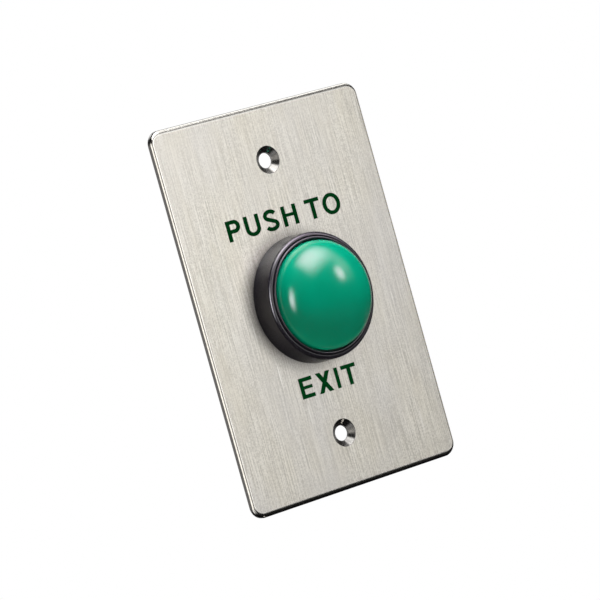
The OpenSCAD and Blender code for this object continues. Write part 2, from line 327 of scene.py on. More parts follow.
def brushed_steel():
    """Satin sheet brushed along the plate's long side: several widths of grain, soft streaks,
    a few longer scratches and slight warm and cool patches."""
    m, t, p = principled("brushed_sheet")
    p.inputs["Metallic"].default_value = 1.0
    hair = noise(t, (4800, 4800, 260), 2.0, 0.6)
    grain = noise(t, (3000, 3000, 55), 2.0, 0.6)
    streak = noise(t, (520, 520, 34), 3.0, 0.55)
    pits = noise(t, (2300, 2300, 2300), 1.0, 0.5)
    patch = noise(t, (46, 46, 24), 2.0, 0.5)
    warm = noise(t, (260, 260, 70), 2.0, 0.5)
    scratch_noise = noise(t, (1500, 1500, 75), 0.0, 0.4)
    scratch = remap(t, scratch_noise, 0.76, 0.83, 0.0, 1.0)
    tone = math_node(t, "ADD", math_node(t, "MULTIPLY", hair, 0.14), math_node(t, "MULTIPLY", grain, 0.50))
    tone = math_node(t, "ADD", tone, math_node(t, "MULTIPLY", streak, 0.11))
    tone = math_node(t, "ADD", tone, math_node(t, "MULTIPLY", pits, 0.25))
    c1 = mix_colour(t, remap(t, tone, 0.42, 0.58, 0, 1), (0.455, 0.430, 0.380), (0.785, 0.757, 0.690))
    c2 = mix_colour(t, remap(t, warm, 0.40, 0.70, 0, 0.34), c1, (0.645, 0.605, 0.512))
    c3 = mix_colour(t, remap(t, patch, 0.40, 0.68, 0, 0.36), c2, (0.605, 0.592, 0.594))
    c4 = mix_colour(t, math_node(t, "MULTIPLY", scratch, 0.6), c3, (0.84, 0.82, 0.78))
    # painted shadow: the sheet is darkened close in under the collar, more to the left of it than above, where a light
    # from the upper right would cast it
    shadow_ao = node(t, "ShaderNodeAmbientOcclusion", samples=8)
    shadow_ao.inputs["Distance"].default_value = 0.0060
    shadow_tilt = node(t, "ShaderNodeVectorMath", operation="ADD")
    t.links.new(node(t, "ShaderNodeNewGeometry").outputs["Normal"], shadow_tilt.inputs[0])
    shadow_tilt.inputs[1].default_value = (0.64, 0.0, -0.08)
    t.links.new(shadow_tilt.outputs[0], shadow_ao.inputs["Normal"])
    painted_shadow = remap(t, shadow_ao.outputs["AO"], 0.34, 0.90, 0.92, 0.0)
    t.links.new(mix_colour(t, painted_shadow, c4, (0.03, 0.028, 0.028)), p.inputs["Base Color"])
    r = remap(t, tone, 0.36, 0.64, 0.37, 0.50)
    t.links.new(math_node(t, "SUBTRACT", r, math_node(t, "MULTIPLY", scratch, 0.08)), p.inputs["Roughness"])
    b1 = bump(t, p, grain, 0.16, 0.00005)
    bump(t, p, hair, 0.22, 0.00002, b1)
    return m


def edge_steel():
    """The punched and softly tumbled edge of the sheet: bright where it rolls off the face, matt and
    darker down the cut side, with painted shade on the parts that face down."""
    m, t, p = principled("sheet_edge")
    p.inputs["Metallic"].default_value = 1.0
    shear = noise(t, (1400, 420, 1400), 3.0, 0.6)
    bright = mix_colour(t, remap(t, shear, 0.35, 0.65, 0, 1), (0.47, 0.452, 0.42), (0.59, 0.572, 0.535))
    sep = node(t, "ShaderNodeSeparateXYZ")
    t.links.new(node(t, "ShaderNodeTexCoord").outputs["Object"], sep.inputs[0])
    cut_side_and_shade = remap(t, sep.outputs["Y"], -0.00159, -0.00118, 0, 1, "SMOOTHSTEP")
    # painted shade: where the edge faces down it is darkened as well, the same as the cut side
    facing = node(t, "ShaderNodeSeparateXYZ")
    t.links.new(node(t, "ShaderNodeTexCoord").outputs["Normal"], facing.inputs[0])
    under = remap(t, facing.outputs["Z"], -0.60, -0.35, 1, 0, "SMOOTHSTEP")
    cut_side_and_shade = math_node(t, "MAXIMUM", cut_side_and_shade, under)
    t.links.new(mix_colour(t, cut_side_and_shade, bright, (0.20, 0.195, 0.188)), p.inputs["Base Color"])
    t.links.new(remap(t, shear, 0.3, 0.7, 0.17, 0.25), p.inputs["Roughness"])
    bump(t, p, shear, 0.05, 0.00002)
    return m


def turned_steel():
    """The bright turned faces of the countersinks."""
    m, t, p = principled("countersink_face")
    p.inputs["Metallic"].default_value = 1.0
    rings = noise(t, (700, 9000, 700), 2.0, 0.5)
    t.links.new(mix_colour(t, remap(t, rings, 0.35, 0.65, 0, 1), (0.17, 0.163, 0.155), (0.23, 0.222, 0.212)), p.inputs["Base Color"])
    t.links.new(remap(t, rings, 0.3, 0.7, 0.22, 0.29), p.inputs["Roughness"])
    # the tool's marks run round each hole's own axis, so what they mirror is drawn out from it
    place = node(t, "ShaderNodeSeparateXYZ")
    t.links.new(node(t, "ShaderNodeTexCoord").outputs["Object"], place.inputs[0])
    off = math_node(t, "MULTIPLY", math_node(t, "SIGN", place.outputs["Z"]), 0.042)
    outward = node(t, "ShaderNodeCombineXYZ")
    t.links.new(place.outputs["X"], outward.inputs["X"])
    t.links.new(math_node(t, "SUBTRACT", place.outputs["Z"], off), outward.inputs["Z"])
    unit = node(t, "ShaderNodeVectorMath", operation="NORMALIZE")
    t.links.new(outward.outputs[0], unit.inputs[0])
    t.links.new(unit.outputs[0], p.inputs["Tangent"])
    p.inputs["Anisotropic"].default_value = 0.8
    bump(t, p, rings, 0.05, 0.00002)
    return m


def green_dome():
    """Glossy opaque green cap: slight depth variation in the colour and a faint orange peel."""
    m, t, p = principled("green_cap")
    cloud = noise(t, (70, 70, 70), 2.0, 0.5)
    t.links.new(mix_colour(t, remap(t, cloud, 0.3, 0.7, 0, 1), (0.0, 0.200, 0.102), (0.0, 0.225, 0.118)), p.inputs["Base Color"])
    fine = noise(t, (900, 900, 900), 2.0, 0.5)
    t.links.new(remap(t, fine, 0.3, 0.7, 0.135, 0.165), p.inputs["Roughness"])
    bump(t, p, fine, 0.02, 0.00002)
    p.inputs["IOR"].default_value = 1.5
    p.inputs["Specular Tint"].default_value = (1.0, 0.80, 0.80, 1)
    return m


def ink():
    """Screen-printed green enamel, a little uneven in the stroke."""
    m, t, p = principled("green_ink")
    spread = noise(t, (1500, 1500, 1500), 3.0, 0.6)
    t.links.new(mix_colour(t, remap(t, spread, 0.35, 0.7, 0, 1), (0.0005, 0.034, 0.006), (0.0015, 0.060, 0.013)), p.inputs["Base Color"])
    t.links.new(remap(t, spread, 0.3, 0.7, 0.46, 0.58), p.inputs["Roughness"])
    bump(t, p, spread, 0.10, 0.00001)
    p.inputs["Specular IOR Level"].default_value = 0.0
    return m


SHEET, EDGE, TURNED = brushed_steel(), edge_steel(), turned_steel()
GREEN, INK = green_dome(), ink()
BLACK = plastic("collar_black", (0.0070, 0.0058, 0.0082), (0.0105, 0.0090, 0.0120), 0.21, grain=0.03)
NUT = plastic("nut_black", (0.012, 0.012, 0.013), (0.020, 0.020, 0.021), 0.46, grain=0.16, grain_mm=0.14)
CARRIER = plastic("carrier_grey", (0.030, 0.031, 0.034), (0.044, 0.045, 0.049), 0.50, grain=0.18, grain_mm=0.12)
CASE = plastic("switch_case_black", (0.017, 0.017, 0.018), (0.027, 0.027, 0.028), 0.42, grain=0.12)
COVER = plastic("switch_cover_grey", (0.045, 0.046, 0.050), (0.062, 0.063, 0.068), 0.44, grain=0.14)
ACETAL = plastic("natural_acetal", (0.70, 0.69, 0.64), (0.79, 0.78, 0.74), 0.34, grain=0.06)
RED = plastic("red_acetal", (0.40, 0.022, 0.014), (0.50, 0.034, 0.022), 0.30, grain=0.05)
ZINC = metal("zinc_plate", (0.52, 0.53, 0.54), (0.68, 0.69, 0.70), 0.30)
SPRING = metal("spring_wire", (0.44, 0.44, 0.44), (0.60, 0.60, 0.60), 0.24, grain=(2600, 2600, 2600))
BRASS = metal("stamped_brass", (0.56, 0.40, 0.15), (0.72, 0.54, 0.23), 0.28, grain=(2200, 2200, 240))
BRONZE = metal("spring_bronze", (0.50, 0.28, 0.13), (0.62, 0.38, 0.19), 0.30, grain=(2400, 2400, 300))
SILVER = metal("silver_alloy", (0.74, 0.74, 0.75), (0.86, 0.86, 0.86), 0.20)


# ---------------------------------------------------------------- the plate


def rounded_rect(w, h, r, n=16):
    pts = []
    for cx, cy, a in ((w / 2 - r, h / 2 - r, 0), (-w / 2 + r, h / 2 - r, 90),
                      (-w / 2 + r, -h / 2 + r, 180), (w / 2 - r, -h / 2 + r, 270)):
        pts += arc(cx, cy, r, a, a + 90, n)
    return pts


def faceplate():
    verts, faces, mats = [], [], []

    def loop(points, out):
        ids = list(range(len(verts), len(verts) + len(points)))
        verts.extend(on_plate(x, up, out) for x, up in points)
        return ids

    def wall(a, b, mat):
        n = len(a)
        for i in range(n):
            k = (i + 1) % n
            faces.append([a[i], a[k], b[k], b[i]])
            mats.append(mat)

    def cap(loops, mat):
        flat = [i for ring in loops for i in ring]
        tris = tessellate_polygon([[Vector((verts[i].x, verts[i].z, 0)) for i in ring] for ring in loops])
        for tri in tris:
            faces.append([flat[i] for i in tri])
            mats.append(mat)

    # the outer edge, from the back face round to the front
    rim = rounded_rect(PLATE_W, PLATE_H, CORNER_R)
    inner = rounded_rect(PLATE_W - 2, PLATE_H - 2, CORNER_R - 1)
    rings = [[] for _ in range(21)]
    for (x, up), (x1, up1) in zip(rim, inner):
        nx, nup = x - x1, up - up1
        share = nup * nup
        wide, deep = SIDE_IN + (END_IN - SIDE_IN) * share, SIDE_DEEP + (END_DEEP - SIDE_DEEP) * share
        steps = [(0.15, 0.0), (0.04, 0.04), (0.0, 0.15), (0.0, 0.5), (0.0, F - deep)]
        steps += [(wide - px, F - deep + py) for px, py in arc(0, 0, wide, 0, 90, 16, deep)[1:]]
        for ring, (d, out) in zip(rings, steps):
            ring.append(len(verts))
            verts.append(on_plate(x - nx * d, up - nup * d, out))
        assert len(steps) == len(rings)
    for a, b in zip(rings, rings[1:]):
        wall(a, b, 1)
    back, front = [rings[0]], [rings[-1]]
    # the screw holes with their countersinks and a broken edge
    for s in (1, -1):
        c = s * SCREW_PITCH / 2
        prof = [(SCREW_R + 0.1, 0.0), (SCREW_R, 0.1), (SCREW_R, F - CSK_DEPTH - 0.04)]
        prof += [(SCREW_R + 0.05, F - CSK_DEPTH), (SCREW_R + 0.14, F - CSK_DEPTH + 0.01)]
        prof += [(SCREW_R + 0.14 + (CSK_R - SCREW_R - 0.14) * k / 6, F - CSK_DEPTH + CSK_DEPTH * k / 6) for k in range(1, 6)]
        prof += [(CSK_R - 0.06, F - 0.045), (CSK_R + 0.01, F - 0.012), (CSK_R + 0.06, F)]
        rr = [loop([(r * math.cos(2 * math.pi * i / 96), c + r * math.sin(2 * math.pi * i / 96))
                    for i in range(96)], out) for r, out in prof]
        for a, b in zip(rr, rr[1:]):
            wall(a, b, 2)
        back.append(rr[0])
        front.append(rr[-1])
    # the hole that the barrel goes through
    rr = [loop([(r * math.cos(2 * math.pi * i / 96), BUTTON_Z + r * math.sin(2 * math.pi * i / 96))
                for i in range(96)], out)
          for r, out in ((BARREL_R + 0.4, 0.0), (BARREL_R + 0.3, 0.1), (BARREL_R + 0.3, F - 0.1), (BARREL_R + 0.4, F))]
    for a, b in zip(rr, rr[1:]):
        wall(a, b, 1)
    back.append(rr[0])
    front.append(rr[-1])
    cap(front, 0)
    cap(back, 0)
    mesh = mesh_of("faceplate_sheet", verts, faces, mats)
    o = new_object("faceplate_sheet", mesh, [SHEET, EDGE, TURNED], "plate_assembly", sharp=32)
    w = o.modifiers.new("normals", "WEIGHTED_NORMAL")
    w.keep_sharp, w.weight = True, 100
    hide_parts("faceplate")
    return o


faceplate()


# ---------------------------------------------------------------- plain stroke capitals on the plate


def letter_p(x0, x1, z0, z1, s, t):
    zm, xb = z0 + (z1 - z0) * 0.375, x0 + (x1 - x0) * 0.58
    mid = (z1 + zm) / 2
    outer = [(x0, z0), (x0 + s, z0), (x0 + s, zm)] + arc(xb, mid, x1 - xb, -90, 90, 20, (z1 - zm) / 2) + [(x0, z1)]
    inner = [(x0 + s, zm + t)] + arc(xb, mid, x1 - xb - s, -90, 90, 16, (z1 - zm) / 2 - t) + [(x0 + s, z1 - t)]
    return [outer, inner]


def letter_u(x0, x1, z0, z1, s, t):
    c, zc, a = (x0 + x1) / 2, z0 + (x1 - x0) * 0.42, (x1 - x0) / 2
    outer = [(x1, z1), (x1 - s, z1)] + arc(c, zc, a - s, 0, -180, 20, zc - z0 - t)
    outer += [(x0 + s, z1), (x0, z1)] + arc(c, zc, a, 180, 360, 24, zc - z0)
    return [outer]


def letter_s(x0, x1, z0, z1, s, t):
    c, h = (x0 + x1) / 2, z1 - z0
    a, hb = (x1 - x0) / 2 - s / 2, h * 0.262 - t * 0.38
    zu, zl = z1 - t / 2 - hb, z0 + t / 2 + hb
    pts = arc(c, zu, a * 0.93, 22, 232, 26, hb)
    pts += arc(c, zl, a, 52, -158, 26, hb)
    # smooth the join of the two bowls
    for _ in range(3):
        lo, hi = 20, 34
        pts = [p if not lo <= i <= hi else
               ((pts[i - 1][0] + 2 * p[0] + pts[i + 1][0]) / 4, (pts[i - 1][1] + 2 * p[1] + pts[i + 1][1]) / 4)
               for i, p in enumerate(pts)]
    left, right = [], []
    for i, p in enumerate(pts):
        q0, q1 = pts[max(i - 1, 0)], pts[min(i + 1, len(pts) - 1)]
        dx, dz = q1[0] - q0[0], q1[1] - q0[1]
        d = math.hypot(dx, dz)
        w = (s * abs(dz) + t * abs(dx)) / (abs(dx) + abs(dz)) / 2
        left.append((p[0] - dz / d * w, p[1] + dx / d * w))
        right.append((p[0] + dz / d * w, p[1] - dx / d * w))
    return [left + right[::-1]]


def letter_h(x0, x1, z0, z1, s, t):
    m, b = z0 + (z1 - z0) * 0.535, t * 0.42
    return [[(x0, z0), (x0 + s, z0), (x0 + s, m - b), (x1 - s, m - b), (x1 - s, z0), (x1, z0), (x1, z1),
             (x1 - s, z1), (x1 - s, m + b), (x0 + s, m + b), (x0 + s, z1), (x0, z1)]]


def letter_t(x0, x1, z0, z1, s, t):
    c = (x0 + x1) / 2
    return [[(c - s / 2, z0), (c + s / 2, z0), (c + s / 2, z1 - t), (x1, z1 - t), (x1, z1), (x0, z1),
             (x0, z1 - t), (c - s / 2, z1 - t)]]


def letter_o(x0, x1, z0, z1, s, t):
    c, m, a, b = (x0 + x1) / 2, (z0 + z1) / 2, (x1 - x0) / 2, (z1 - z0) / 2
    return [arc(c, m, a, 0, 360, 48, b)[:-1], arc(c, m, a - s, 0, 360, 40, b - t)[:-1]]


def letter_e(x0, x1, z0, z1, s, t):
    m, b = z0 + (z1 - z0) * 0.52, t * 0.42
    return [[(x0, z0), (x1, z0), (x1, z0 + t), (x0 + s, z0 + t), (x0 + s, m - b), (x1 - 0.3, m - b),
             (x1 - 0.3, m + b), (x0 + s, m + b), (x0 + s, z1 - t), (x1, z1 - t), (x1, z1), (x0, z1)]]


def letter_x(x0, x1, z0, z1, s, t):
    d, c, m, w, h = s * 1.2, (x0 + x1) / 2, (z0 + z1) / 2, x1 - x0, z1 - z0
    k = h * (w / 2 - d) / (w - d)
    return [[(x0, z0), (x0 + d, z0), (c, z0 + k), (x1 - d, z0), (x1, z0), (c + d / 2, m), (x1, z1),
             (x1 - d, z1), (c, z1 - k), (x0 + d, z1), (x0, z1), (c - d / 2, m)]]


def letter_i(x0, x1, z0, z1, s, t):
    return [[(x0, z0), (x1, z0), (x1, z1), (x0, z1)]]


def legend(name, letters):
    """Letters as thin prints of ink, one closed shell each, on the plate's front."""
    verts, faces = [], []
    for make, x0, x1, z0, z1 in letters:
        loops = make(x0, x1, z0, z1, 1.40, 1.15)
        start = len(verts)
        n = sum(len(r) for r in loops)
        flat = [p for r in loops for p in r]
        verts += [on_plate(x, z, F + 0.03) for x, z in flat]
        verts += [on_plate(x, z, F - 0.005) for x, z in flat]
        for tri in tessellate_polygon([[Vector((x, z, 0)) for x, z in r] for r in loops]):
            faces.append([start + i for i in tri])
            faces.append([start + n + i for i in reversed(tri)])
        k = start
        for r in loops:
            for i in range(len(r)):
                j = (i + 1) % len(r)
                faces.append([k + i, k + j, k + n + j, k + n + i])
            k += len(r)
    o = new_object(name, mesh_of(name, verts, faces), [INK], "plate_assembly", smooth=False)
    return o


legend("legend_upper", [
    (letter_p, -21.4, -16.3, 21.40, 27.62), (letter_u, -14.70, -9.12, 21.28, 27.56),
    (letter_s, -7.60, -2.18, 21.22, 27.70), (letter_h, -0.55, 5.02, 21.40, 27.50),
    (letter_t, 8.42, 13.95, 21.35, 27.55), (letter_o, 14.92, 21.52, 21.18, 27.70)])
legend("legend_lower", [
    (letter_e, -11.22, -6.30, -29.02, -22.80), (letter_x, -4.72, 0.72, -29.05, -22.80),
    (letter_i, 2.30, 3.60, -29.05, -22.82), (letter_t, 4.94, 10.42, -29.08, -22.88)])


# ---------------------------------------------------------------- housing: collar, floor, tube, threaded barrel

PITCH = 1.5


def thread(out, turn, top, end, crest, depth):
    """Radius of a rounded thread at a height and a share of a turn, run out at both ends."""
    phase = ((out / PITCH + turn) % 1.0)
    tooth = abs(2 * phase - 1)                      # 0 in the root, 1 on the crest
    tooth = min(1.0, max(0.0, (tooth - 0.12) / 0.70))
    fade = min(1.0, max(0.0, (top - out) / 0.9), max(0.0, (out - end) / 0.9))
    fade = min(fade, max(0.0, (out - end) / 0.9))
    return crest - depth * (1 - tooth) * fade


def housing_profile(turn):
    p = [(COLLAR_R - 0.12, F + 0.0), (COLLAR_R, F + 0.12), (COLLAR_R - 0.06, F + 2.4),
         (COLLAR_R - 0.13, F + 4.8)]
    p += arc(COLLAR_R - 1.3, F + RIM_H - 1.1, 1.1, 0, 84, 12)
    p += [(17.98, F + RIM_H - 0.02), (17.90, F + RIM_H - 0.10), (17.83, F + RIM_H - 0.34), (17.77, F + RIM_H - 0.42),
          (17.70, F + RIM_H - 0.36), (17.64, F + RIM_H - 0.12), (17.58, F + RIM_H + 0.12)]
    p += arc(BORE_R + 0.42, F + LIP_H - 0.42, 0.42, 48, 180, 10)
    p += [(BORE_R, F + 6.0), (BORE_R, FLOOR_HI + 0.4), (BORE_R - 0.4, FLOOR_HI), (7.0, FLOOR_HI), (5.4, FLOOR_HI),
          (5.4, FLOOR_HI + 1), (GUIDE_R + 0.2, FLOOR_HI + 1), (GUIDE_R, FLOOR_HI + 0.8), (GUIDE_R, TUBE_END + 0.2),
          (GUIDE_R + 0.2, TUBE_END), (TUBE_R - 0.2, TUBE_END), (TUBE_R, TUBE_END + 0.2), (TUBE_R, FLOOR_LO),
          (BARREL_IR, FLOOR_LO), (BARREL_IR, BARREL_END + 0.3), (BARREL_IR + 0.3, BARREL_END),
          (BARREL_R - 0.8, BARREL_END)]
    n = 92
    for i in range(n + 1):
        out = BARREL_END + 0.35 + (-0.3 - BARREL_END - 0.35) * i / n
        r = thread(out, turn, 0.2, BARREL_END + 0.5, BARREL_R, 0.72)
        p.append((min(r, BARREL_R - 0.55 + max(0.0, out - BARREL_END - 0.35) * 0.9), out))
    p += [(BARREL_R - 0.03, 0.2), (BARREL_R - 0.03, F)]
    return p


def housing():
    mesh = lathe("button_housing_moulding", housing_profile, 144)
    o = new_object("button_housing_moulding", mesh, [BLACK], None)
    cutters = []
    for s in (1, -1):
        cutters.append(box_mesh("slot", (s * 10.25 - 1.15, -2.35, FLOOR_LO - 1), (s * 10.25 + 1.15, 2.35, FLOOR_HI + 1)))
        cutters.append(box_mesh("notch", (-2.4, s * 12.7 - 2.2, BARREL_END - 1), (2.4, s * 12.7 + 2.2, BARREL_END + 3.2)))
    cut(o, cutters)
    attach(o, "plate_assembly")
    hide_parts("button_housing")
    return o


housing()


def panel_nut():
    """Flanged hexagon nut with chamfered corners and grip notches in its flange."""
    def profile(turn):
        a = turn * 360.0
        hexa = 17.9 * math.cos(math.radians(30)) / math.cos(math.radians((a % 60) - 30))
        notch = 0.22 if (a % 15) < 3.6 else 0.0
        fl = 18.4 - notch
        chamf = 16.6
        r = [(BARREL_R + 0.35, -0.8), (fl - 0.25, -0.8), (fl, -1.05), (fl, -2.15), (fl - 0.25, -2.4),
             (min(hexa, 18.0) + 0.15, -2.4), (hexa, -2.6), (hexa, -6.2),
             (min(hexa, (hexa + chamf) / 2 + 0.25), -6.75), (min(hexa - 0.15, chamf + 0.1), -7.05), (chamf - 0.25, -7.2),
             (BARREL_R + 0.6, -7.2), (BARREL_R + 0.03, -6.7)]
        return r + [(BARREL_R + 0.03, -1.2)]
    mesh = lathe("panel_nut_hex", profile, 200)
    o = new_object("panel_nut_hex", mesh, [NUT], "plate_assembly", sharp=28)
    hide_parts("panel_nut")
    return o


panel_nut()


# ---------------------------------------------------------------- cap


def dome_cap():
    n = 56
    inner_r, wall_b = CAP_R - CAP_WALL, DOME_H - CAP_WALL
    p = [(CAP_R * math.cos(math.radians(90 - 90 * i / n)), SHOULDER + DOME_H * math.sin(math.radians(90 - 90 * i / n)))
         for i in range(n + 1)]
    p[0] = (0.0, SHOULDER + DOME_H)
    p += [(CAP_R, SHOULDER - 1.4), (CAP_R, SKIRT_LO + 0.3), (CAP_R - 0.1, SKIRT_LO + 0.08), (CAP_R - 0.3, SKIRT_LO),
          (inner_r + 0.1, SKIRT_LO), (inner_r, SKIRT_LO + 0.1), (inner_r, SHOULDER - 1)]
    p += [(inner_r * math.cos(math.radians(e)), SHOULDER + wall_b * math.sin(math.radians(e))) for e in range(0, 61, 5)]
    top = SHOULDER + wall_b * math.sqrt(1 - (6.5 / inner_r) ** 2)
    p += [(6.5, top), (6.5, DISC_HI), (STEM_R, DISC_HI), (STEM_R, STEM_TOP + 0.1), (0.0, STEM_TOP + 0.1)]
    mesh = lathe("dome_cap_shell", p, 128, closed=False)
    o = new_object("dome_cap_shell", mesh, [GREEN], "press_button")
    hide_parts("dome_cap")
    return o


dome_cap()


# ---------------------------------------------------------------- springs


def return_spring():
    turns, wire, mean = 5, 0.4, 6.0
    lo, hi = FLOOR_HI + wire + 0.02, DISC_LO - wire - 0.02
    w = 2 * wire + 0.02
    rise = hi - lo - 2 * w

    def height(t):
        if t < 1:
            return lo + w * t
        if t > turns - 1:
            return hi - w * (turns - t)
        return lo + w + rise * (t - 1) / (turns - 2)
    n = 48 * turns
    path = [at(mean * math.cos(2 * math.pi * turns * i / n), mean * math.sin(2 * math.pi * turns * i / n),
               height(turns * i / n)) for i in range(n + 1)]
    o = new_object("return_spring_coil", tube("return_spring_coil", path, wire * MM, 12), [SPRING], "plate_assembly", sharp=60)
    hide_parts("return_spring")
    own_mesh(o)
    return o


return_spring()


def snap_spring():
    y0, y1, n, th = -2.7, 8.6, 28, 0.16
    lo, top = BLADE_Z - 0.55, CASE_HI - 3.66
    mid, half = (y0 + y1) / 2, (y1 - y0) / 2
    rise = (top - lo) / (1 - ((1.5 - mid) / half) ** 2)
    verts, faces = [], []
    for i in range(n + 1):
        y = y0 + (y1 - y0) * i / n
        z = lo + rise * (1 - ((y - mid) / half) ** 2)
        wide = 1.1 - 0.12 * (abs(y - mid) / half) ** 2
        for x, out in ((-wide, z), (wide, z), (wide, z - th), (-wide, z - th)):
            verts.append(at(x, y, out))
    for i in range(n):
        for k in range(4):
            q = (k + 1) % 4
            faces.append([i * 4 + k, i * 4 + q, (i + 1) * 4 + q, (i + 1) * 4 + k])
    faces += [[0, 1, 2, 3], [n * 4 + 3, n * 4 + 2, n * 4 + 1, n * 4]]
    o = new_object("snap_spring_leaf", mesh_of("snap_spring_leaf", verts, faces), [BRONZE], "plate_assembly")
    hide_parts("snap_spring")
    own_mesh(o)
    return o


snap_spring()


# ---------------------------------------------------------------- CAD nodes that stay

FINISH = {
    "lock_washer": (ZINC, 0.06), "plunger": (ACETAL, 0.12), "switch_carrier": (CARRIER, 0.18),
    "switch_pins": (ZINC, 0.10), "switch_case": (CASE, 0.14), "switch_cover": (COVER, 0.14),
    "cover_rivets": (BRASS, 0.05), "switch_button": (RED, 0.06), "contact_blade": (BRONZE, 0.03),
    "moving_contact": (SILVER, 0.03), "common_terminal": (BRASS, 0.06),
    "normally_open_terminal": (BRASS, 0.06), "normally_closed_terminal": (BRASS, 0.06),
    "normally_open_contact": (SILVER, 0.03), "normally_closed_contact": (SILVER, 0.03),
}
CAD_SPARE = {"faceplate": SHEET, "button_housing": BLACK, "panel_nut": NUT, "dome_cap": GREEN,
             "return_spring": SPRING, "snap_spring": BRONZE}

for name, (material, round_mm) in FINISH.items():
    o = nodes[name]
    o.data.materials.clear()
    o.data.materials.append(material)
    weld = o.modifiers.new("weld", "WELD")
    weld.merge_threshold = 0.000002
    bev = o.modifiers.new("soft_edges", "BEVEL")
    bev.width, bev.segments = round_mm * MM, 2
    bev.limit_method, bev.angle_limit = "ANGLE", math.radians(40)
    bev.use_clamp_overlap, bev.harden_normals = True, False
    wn = o.modifiers.new("normals", "WEIGHTED_NORMAL")
    wn.keep_sharp = False
for name, material in CAD_SPARE.items():
    nodes[name].data.materials.clear()
    nodes[name].data.materials.append(material)


# ---------------------------------------------------------------- light, floor, camera


def direction(az, el):
    a, e = math.radians(az), math.radians(el)
    return Vector((math.sin(a) * math.cos(e), -math.cos(a) * math.cos(e), math.sin(e)))


def emission(name, strength, colour, soft):
    """A softbox face that fades in from its four sides (shares of its length and width), dark
    behind, and lets other lights through."""
    m = bpy.data.materials.new(name)
    m.use_nodes = True
    t = m.node_tree
    t.nodes.clear()
    out = node(t, "ShaderNodeOutputMaterial")
    em = node(t, "ShaderNodeEmission")
    em.inputs["Color"].default_value = (*colour, 1)
    sep = node(t, "ShaderNodeSeparateXYZ")
    t.links.new(node(t, "ShaderNodeTexCoord").outputs["Generated"], sep.inputs[0])
    level = None
    for axis, lo_side, hi_side in (("X", soft[0], soft[1]), ("Y", soft[2], soft[3])):
        for a, b in ((0.0, lo_side), (1.0, 1.0 - hi_side)):
            ramp = remap(t, sep.outputs[axis], a, b, 0, 1, "SMOOTHSTEP")
            level = ramp if level is None else math_node(t, "MULTIPLY", level, ramp)
    g = node(t, "ShaderNodeNewGeometry")
    face = math_node(t, "SUBTRACT", 1.0, g.outputs["Backfacing"])
    t.links.new(math_node(t, "MULTIPLY", math_node(t, "MULTIPLY", level, face), strength), em.inputs["Strength"])
    both = node(t, "ShaderNodeAddShader")
    t.links.new(em.outputs[0], both.inputs[0])
    t.links.new(node(t, "ShaderNodeBsdfTransparent").outputs[0], both.inputs[1])
    t.links.new(both.outputs[0], out.inputs["Surface"])
    return m


def softbox(name, centre, along, dist, span, strength, soft=(0.48, 0.48, 0.48, 0.48), colour=(1, 1, 1)):
    """A soft light facing the button from a direction (azimuth, elevation), its length pointing from
    there towards a second direction. span is length and width, or the four sides' places about
    the centre. No camera sees it and it throws no shadow of its own."""
    d, toward = direction(*centre), direction(*along)
    x = (toward - d * toward.dot(d)).normalized()
    y = d.cross(x)
    if len(span) == 2:
        span = (-span[0] / 2, span[0] / 2, -span[1] / 2, span[1] / 2)
    x0, x1, y0, y1 = span
    mesh = bpy.data.meshes.new(name)
    mesh.from_pydata([(x0, y0, 0), (x0, y1, 0), (x1, y1, 0), (x1, y0, 0)], [], [[0, 1, 2, 3]])
    mesh.materials.append(emission(name, strength, colour, soft))
    o = bpy.data.objects.new(name, mesh)
    scene.collection.objects.link(o)
    o.matrix_world = Matrix.Translation(Vector((0, -0.01, 0)) + d * dist) @ Matrix((x, y, d)).transposed().to_4x4()
    o.visible_camera = False
    o.visible_shadow = False
    return o


def link(light, kind, objects, state="EXCLUDE"):
    """Which objects the light falls on (receiver_collection) or is held back by (blocker_collection)."""
    c = bpy.data.collections.new(f"{light.name}_{kind}")
    for o in objects:
        c.objects.link(o)
    for member in c.collection_objects:
        member.light_linking.link_state = state
    setattr(light.light_linking, kind, c)


def only(light, glossy):
    """A light that is only seen as a reflection, or only fills."""
    light.visible_diffuse, light.visible_glossy = not glossy, glossy
    return light


made = bpy.data.objects
plate, collar, cap = made["faceplate_sheet"], made["button_housing_moulding"], made["dome_cap_shell"]
print_work = [made["legend_upper"], made["legend_lower"]]
# reflections in the button
shine = [
    softbox("key_box", (20, 48), (80, 40), 0.85, (-0.42, 0.78, -0.42, 0.72), 12.0, (0.27, 0.62, 0.36, 0.56),
            colour=(1.0, 0.86, 1.02)),
    softbox("side_box", (45, 14), (44, 60), 0.84, (0.30, 0.24), 16.0, colour=(1.0, 0.82, 0.98)),
    softbox("side_glow", (56, 20), (62, 60), 0.86, (0.60, 0.46), 2.4),
    softbox("top_strip", (150, 79), (100, 55), 0.85, (1.06, 0.12), 5.0),
    softbox("strip_box", (-55.2, 6), (-44, 44), 0.85, (0.74, 0.46), 14.5, colour=(1.0, 0.96, 1.12)),
]
for b in shine:
    link(only(b, True), "receiver_collection", [plate] + print_work)
crescent = softbox("crescent_box", (104, -38), (104, 0), 0.85, (0.9, 0.7), 0.5)
link(only(crescent, True), "receiver_collection", [cap], "INCLUDE")
# the light that shades the button
fills = [
    softbox("key_fill", (24, 67), (80, 40), 1.35, (1.25, 1.25), 39.5, colour=(1.0, 1.0, 1.14)),
    softbox("left_fill", (-30, 30), (-30, 60), 1.35, (1.1, 1.1), 1.0),
    softbox("low_fill", (100, -50), (100, -10), 1.35, (1.25, 1.25), 3.4),
    softbox("far_fill", (-90, -15), (-90, 30), 1.35, (1.1, 1.1), 7.0),
]
for b in fills:
    link(only(b, False), "receiver_collection", [plate] + print_work)
for b in (crescent, fills[2], fills[3]):
    link(b, "blocker_collection", [plate, collar])
# the panel that the sheet mirrors
panel = softbox("panel_box", (15.5, 7), (80, 7), 1.15, (1.92, 1.46), 2.82)
link(panel, "receiver_collection", [cap])
link(panel, "blocker_collection", [collar, cap])
